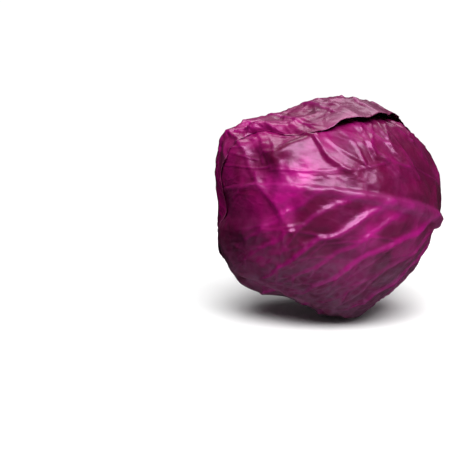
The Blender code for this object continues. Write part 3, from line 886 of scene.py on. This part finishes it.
def stump(name):
    """The cut stalk, turned from its profile."""
    bpy.ops.object.select_all(action="DESELECT")
    bpy.ops.mesh.primitive_plane_add(size=1.0)
    piece = bpy.context.object
    piece.name = name
    line = [(max(radius, 0.0), 0.0, height) for height, radius in smooth_line(STUMP_PROFILE, STUMP_POINTS)]
    piece.data.clear_geometry()
    piece.data.from_pydata(line, [(k, k + 1) for k in range(STUMP_POINTS - 1)], [])
    bpy.ops.object.mode_set(mode="EDIT")
    bpy.ops.mesh.select_all(action="SELECT")
    bpy.ops.mesh.spin(steps=96, angle=math.tau, center=(0, 0, 0), axis=(0, 0, 1))
    bpy.ops.mesh.select_all(action="SELECT")
    bpy.ops.mesh.remove_doubles(threshold=1e-6)
    bpy.ops.object.mode_set(mode="OBJECT")
    face_outwards()

    # Out of round and knobbed, with a cut face that has dried unevenly
    co = points_of(piece.data)
    across = np.hypot(co[:, 0], co[:, 1]) / STUMP_RADIUS
    turn = np.arctan2(co[:, 1], co[:, 0])
    out_of_round = 0.05 * np.sin(2 * turn + 0.6) + 0.025 * np.sin(5 * turn + 1.0)
    knobs = 0.03 * layered_noise(co, 0.006, 3)
    co[:, :2] *= (1.0 + (out_of_round + knobs - 0.06) * smooth_step(0.0640, 0.0700, co[:, 2]))[:, None]
    at_end = smooth_step(STUMP_END - 0.0020, STUMP_END - 0.0004, co[:, 2])
    dished = 0.0005 * np.sin(9.0 * across**1.4) * (1 - across) + 0.0003 * layered_noise(co, 0.004, 8)
    co[:, 2] += (dished - 0.0004) * at_end
    put_points(piece.data, co)
    put_attribute(piece.data, "across", across)
    put_attribute(piece.data, "end", at_end * smooth_step(1.04, 0.93, across))
    turn_to_stalk = STALK_WAY.to_track_quat("Z", "Y").to_matrix().to_4x4()
    piece.data.transform(Matrix.Translation(HEAD_MIDDLE) @ turn_to_stalk)
    return piece


# Materials
def maths(tree, operation, a, b=None):
    made = tree.nodes.new("ShaderNodeMath")
    made.operation = operation
    for socket, value in zip(made.inputs, (a, b)):
        if value is None:
            continue
        if isinstance(value, (int, float)):
            socket.default_value = value
        else:
            tree.links.new(value, socket)
    return made.outputs[0]


def product(tree, first, *others):
    for other in others:
        first = maths(tree, "MULTIPLY", first, other)
    return first


def ramp(tree, value, low, high, to_low=0.0, to_high=1.0):
    """A smooth step of a value, from one output to another."""
    made = tree.nodes.new("ShaderNodeMapRange")
    made.interpolation_type = "SMOOTHSTEP"
    tree.links.new(value, made.inputs["Value"])
    for key, number in (("From Min", low), ("From Max", high), ("To Min", to_low), ("To Max", to_high)):
        made.inputs[key].default_value = number
    return made.outputs["Result"]


def blend_colour(tree, share, a, b):
    """Colour a with a share of colour b over it."""
    made = tree.nodes.new("ShaderNodeMix")
    made.data_type = "RGBA"
    for socket, value in ((made.inputs[0], share), (made.inputs[6], a), (made.inputs[7], b)):
        if isinstance(value, tuple):
            socket.default_value = value
        else:
            tree.links.new(value, socket)
    return made.outputs[2]


def attribute(tree, name):
    made = tree.nodes.new("ShaderNodeAttribute")
    made.attribute_name = name
    return made.outputs["Fac"]


def noise_value(tree, vector, scale, detail, distortion=0.0):
    made = tree.nodes.new("ShaderNodeTexNoise")
    made.inputs["Scale"].default_value = scale
    made.inputs["Detail"].default_value = detail
    made.inputs["Distortion"].default_value = distortion
    tree.links.new(vector, made.inputs["Vector"])
    return made.outputs["Fac"]


def bump_normal(tree, relief, strength, distance):
    """Fine relief that only the light shows."""
    made = tree.nodes.new("ShaderNodeBump")
    made.inputs["Strength"].default_value = strength
    made.inputs["Distance"].default_value = distance
    tree.links.new(relief, made.inputs["Height"])
    return made.outputs["Normal"]


def new_material(name):
    """A material with its tree and its shader's sockets."""
    material = bpy.data.materials.new(name)
    material.use_nodes = True
    return material, material.node_tree, material.node_tree.nodes["Principled BSDF"].inputs


def leaf_material():
    """Skin of a leaf: magenta to dark purple blade, paler veins, grey waxy bloom and painted sheen,
    painted shade and light.
    """
    material, tree, shader = new_material("red_leaf")
    where = tree.nodes.new("ShaderNodeTexCoord").outputs["Object"]
    vein, rib, foot, edge = (attribute(tree, key) for key in ("vein", "rib", "foot", "edge"))
    hollow, net, tone_and_painted_light, dry = (attribute(tree, key) for key in ("hollow", "net", "tone_and_painted_light", "dry"))
    blotch = noise_value(tree, where, 28.0, 3.0, 0.6)
    mottle = noise_value(tree, where, 150.0, 3.0, 0.4)
    speck = noise_value(tree, where, 900.0, 2.0)

    plan = tree.nodes.new("ShaderNodeUVMap")
    plan.uv_map = "plan"
    small = tree.nodes.new("ShaderNodeTexVoronoi")
    small.voronoi_dimensions = "2D"
    small.feature = "DISTANCE_TO_EDGE"
    small.inputs["Scale"].default_value = 330.0
    tree.links.new(plan.outputs["UV"], small.inputs["Vector"])
    fine_net = ramp(tree, small.outputs["Distance"], 0.0, 0.14, 1.0, 0.0)

    # The bloom lies in patches between the veins, low on the head and on the dry flap. It is real wax,
    # but it is also a painted sheen: low on the head it stands for the floor's reflection, and on the
    # dry flap it lies mostly on the crests of the folds.
    height = tree.nodes.new("ShaderNodeSeparateXYZ")
    tree.links.new(where, height.inputs[0])
    low = ramp(tree, height.outputs["Z"], 0.020, 0.078, 1.0, 0.05)
    patch = ramp(tree, noise_value(tree, where, 60.0, 3.0, 0.6), 0.40, 0.60, 0.15, 1.0)
    between = ramp(tree, vein, 0.20, 0.65, 1.0, 0.0)
    bloom_and_sheen = product(tree, low, patch, between, ramp(tree, mottle, 0.30, 0.70, 0.6, 1.0))
    bloom_and_sheen = maths(tree, "MAXIMUM", bloom_and_sheen, product(tree, dry, ramp(tree, hollow, 0.7, 0.3, 0.05, 0.5)))

    vein_share = product(tree, ramp(tree, vein, 0.12, 0.95), ramp(tree, low, 0.0, 1.0, 0.45, 0.55))
    layers = (
        # Brighter and darker patches: partly own tone, partly painted light and painted shade
        (ramp(tree, tone_and_painted_light, -0.1, -0.8, 0.0, 0.8), BRIGHT_SKIN_AND_PAINTED_LIGHT),
        (ramp(tree, tone_and_painted_light, 0.1, 1.0, 0.0, 0.8), DARK_SKIN_AND_PAINTED_SHADE),
        # Painted shade in crease hollows and in the dry flap's fold valleys
        (ramp(tree, hollow, 0.35, 0.85, 0.0, 0.35), HOLLOW_PAINTED_SHADE),
        (product(tree, dry, ramp(tree, hollow, 0.30, 0.65, 0.0, 0.6)), FOLD_PAINTED_SHADE),
        # Painted shade low on the head
        (product(tree, low, 0.75), LOW_PAINTED_SHADE),
        (product(tree, bloom_and_sheen, 0.85), BLOOM_AND_PAINTED_SHEEN),
        (product(tree, net, low, 0.4), NET_SKIN),
        (vein_share, VEIN_SKIN),
        (product(tree, rib, 0.35), RIB_SKIN),
        (product(tree, foot, 0.8), FOOT_SKIN),
        (product(tree, edge, 0.25), EDGE_SKIN),
    )
    colour = blend_colour(tree, ramp(tree, blotch, 0.34, 0.66), DEEP_SKIN, FULL_SKIN)
    for share, over in layers:
        colour = blend_colour(tree, share, colour, over)
    rough = maths(tree, "ADD", ramp(tree, mottle, 0.25, 0.75, 0.33, 0.45), product(tree, bloom_and_sheen, 0.15))
    relief = maths(tree, "ADD", product(tree, fine_net, 0.35), product(tree, mottle, 0.8))
    relief = maths(tree, "ADD", relief, product(tree, speck, 0.12))
    tree.links.new(colour, shader["Base Color"])
    tree.links.new(rough, shader["Roughness"])
    tree.links.new(bump_normal(tree, relief, 0.35, 0.0004), shader["Normal"])
    shader["Coat Weight"].default_value = 0.50
    shader["Coat Roughness"].default_value = 0.30
    shader["Specular IOR Level"].default_value = 0.66
    shader["Specular Tint"].default_value = GLEAM_TINT
    return material


def stalk_material():
    """Cut stalk: a pale pithy face with rings and a browned rim, and a greenish white side."""
    material, tree, shader = new_material("cut_stalk")
    where = tree.nodes.new("ShaderNodeTexCoord").outputs["Object"]
    across, end = attribute(tree, "across"), attribute(tree, "end")
    stain = noise_value(tree, where, 130.0, 4.0, 0.8)
    grain = noise_value(tree, where, 900.0, 3.0)
    wobbling = maths(tree, "ADD", product(tree, across, 26.0), product(tree, stain, 11.0))
    rings = ramp(tree, maths(tree, "SINE", wobbling), -0.6, 1.0)

    side = blend_colour(tree, ramp(tree, stain, 0.35, 0.65), GREENISH_SIDE, PURPLISH_SIDE)
    face = blend_colour(tree, product(tree, rings, 0.22), PALE_PITH, PITH_RING)
    face = blend_colour(tree, ramp(tree, stain, 0.50, 0.75, 0.0, 0.55), face, PITH_STAIN)
    face = blend_colour(tree, ramp(tree, across, 0.50, 0.20, 0.0, 0.35), face, PITH_MIDDLE)
    face = blend_colour(tree, ramp(tree, across, 0.80, 0.97, 0.0, 0.7), face, BROWNED_RIM)
    relief = maths(tree, "ADD", grain, product(tree, rings, end))
    tree.links.new(blend_colour(tree, end, side, face), shader["Base Color"])
    tree.links.new(ramp(tree, grain, 0.3, 0.7, 0.55, 0.75), shader["Roughness"])
    tree.links.new(bump_normal(tree, relief, 0.5, 0.0004), shader["Normal"])
    return material


def plain_material(name, colour, roughness):
    material, _, shader = new_material(name)
    shader["Base Color"].default_value = colour
    shader["Roughness"].default_value = roughness
    return material


# Studio
def plane_piece(name, place, colour_name, colour, roughness):
    """A plane that the given matrix sizes and places from one a metre wide."""
    bpy.ops.object.select_all(action="DESELECT")
    bpy.ops.mesh.primitive_plane_add(size=1.0)
    piece = bpy.context.object
    piece.name = name
    piece.data.transform(place)
    piece.data.materials.append(plain_material(colour_name, colour, roughness))
    return piece


def soft_light(place, size, power):
    """A wide lamp that looks at the head."""
    bpy.ops.object.light_add(type="AREA", location=place)
    lamp = bpy.context.object
    lamp.data.shape = "RECTANGLE"
    lamp.data.size, lamp.data.size_y = size
    lamp.data.energy = power
    lamp.rotation_euler = (LIGHTS_AIM - place).to_track_quat("-Z", "Y").to_euler()
    return lamp


def studio_world():
    """Even light from all round, dim in reflections and white where the camera sees it."""
    world = bpy.data.worlds.new("studio")
    world.use_nodes = True
    sky = world.node_tree
    lit = sky.nodes["Background"]
    mirrored = sky.nodes.new("ShaderNodeBackground")
    seen = sky.nodes.new("ShaderNodeBackground")
    for source, strength in ((lit, WORLD_LIGHT), (mirrored, WORLD_GLEAM), (seen, WORLD_SEEN)):
        source.inputs["Color"].default_value = (1.0, 1.0, 1.0, 1.0)
        source.inputs["Strength"].default_value = strength
    ray = sky.nodes.new("ShaderNodeLightPath")
    chosen = lit.outputs[0]
    for question, source in (("Is Glossy Ray", mirrored), ("Is Camera Ray", seen)):
        choose = sky.nodes.new("ShaderNodeMixShader")
        sky.links.new(ray.outputs[question], choose.inputs[0])
        sky.links.new(chosen, choose.inputs[1])
        sky.links.new(source.outputs[0], choose.inputs[2])
        chosen = choose.outputs[0]
    sky.links.new(chosen, sky.nodes["World Output"].inputs["Surface"])
    return world


def studio_camera():
    """A camera in front of the head, a little above it and to its left."""
    forward = Vector((0.0, math.cos(CAMERA_ELEVATION), -math.sin(CAMERA_ELEVATION)))
    right = Vector((1.0, 0.0, 0.0))
    up = right.cross(forward)
    place = HEAD_MIDDLE - forward * CAMERA_DISTANCE - right * CAMERA_LEFT - up * CAMERA_BELOW
    lens = bpy.data.cameras.new("camera")
    lens.angle = CAMERA_ANGLE
    camera = bpy.data.objects.new("camera", lens)
    camera.matrix_world = Matrix.Translation(place) @ Matrix((right, up, -forward)).transposed().to_4x4()
    bpy.context.scene.collection.objects.link(camera)
    return camera


# The object
skin = leaf_material()
heart, heart_tree = ball("heart_look")
heart.data.materials.append(skin)
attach(heart, "root")
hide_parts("heart")

stalk = stump("stalk_look")
stalk.data.materials.append(stalk_material())
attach(stalk, "root")
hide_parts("stalk")

laid = [heart_tree]
leaves = [leaf_blade(leaf, laid) for leaf in LEAVES]
fit = fit_of(laid)
pressed_to_size(heart, fit)
for sheet, least_height in leaves:
    pressed_to_size(sheet, fit, least_height)
    sheet.data.materials.append(skin)

# The floor round it. Reflections don't see it.
floor_place = Matrix.Translation((0.0, (FLOOR_BEHIND - FLOOR_IN_FRONT) / 2, 0.0))
floor_size = Matrix.Diagonal((FLOOR_WIDTH, FLOOR_BEHIND + FLOOR_IN_FRONT, 1.0, 1.0))
floor = plane_piece("floor", floor_place @ floor_size, "pale_floor", FLOOR_GREY, 0.7)
floor.visible_glossy = False

# Lights: a softbox in front, an overhead light that brings no gleam, a weak light behind
bpy.context.scene.world = studio_world()
soft_light(SOFTBOX_PLACE, SOFTBOX_SIZE, SOFTBOX_POWER)
overhead = soft_light(OVERHEAD_PLACE, OVERHEAD_SIZE, OVERHEAD_POWER)
overhead.visible_glossy = False
soft_light(BACK_LIGHT_PLACE, BACK_LIGHT_SIZE, BACK_LIGHT_POWER)

# A dark card on edge beside the head, which the leaves mirror. The camera doesn't see it.
card_place = Matrix((
    (0, 0, 1, CARD_PLACE.x),
    (0, CARD_DEPTH, 0, CARD_PLACE.y),
    (CARD_HEIGHT, 0, 0, CARD_PLACE.z),
    (0, 0, 0, 1),
))
card = plane_piece("dark_card", card_place, "dark_felt", CARD_BLACK, 0.9)
card.visible_camera = False
card.visible_shadow = False

bpy.context.scene.camera = studio_camera()
bpy.context.scene.view_settings.view_transform = "Standard"
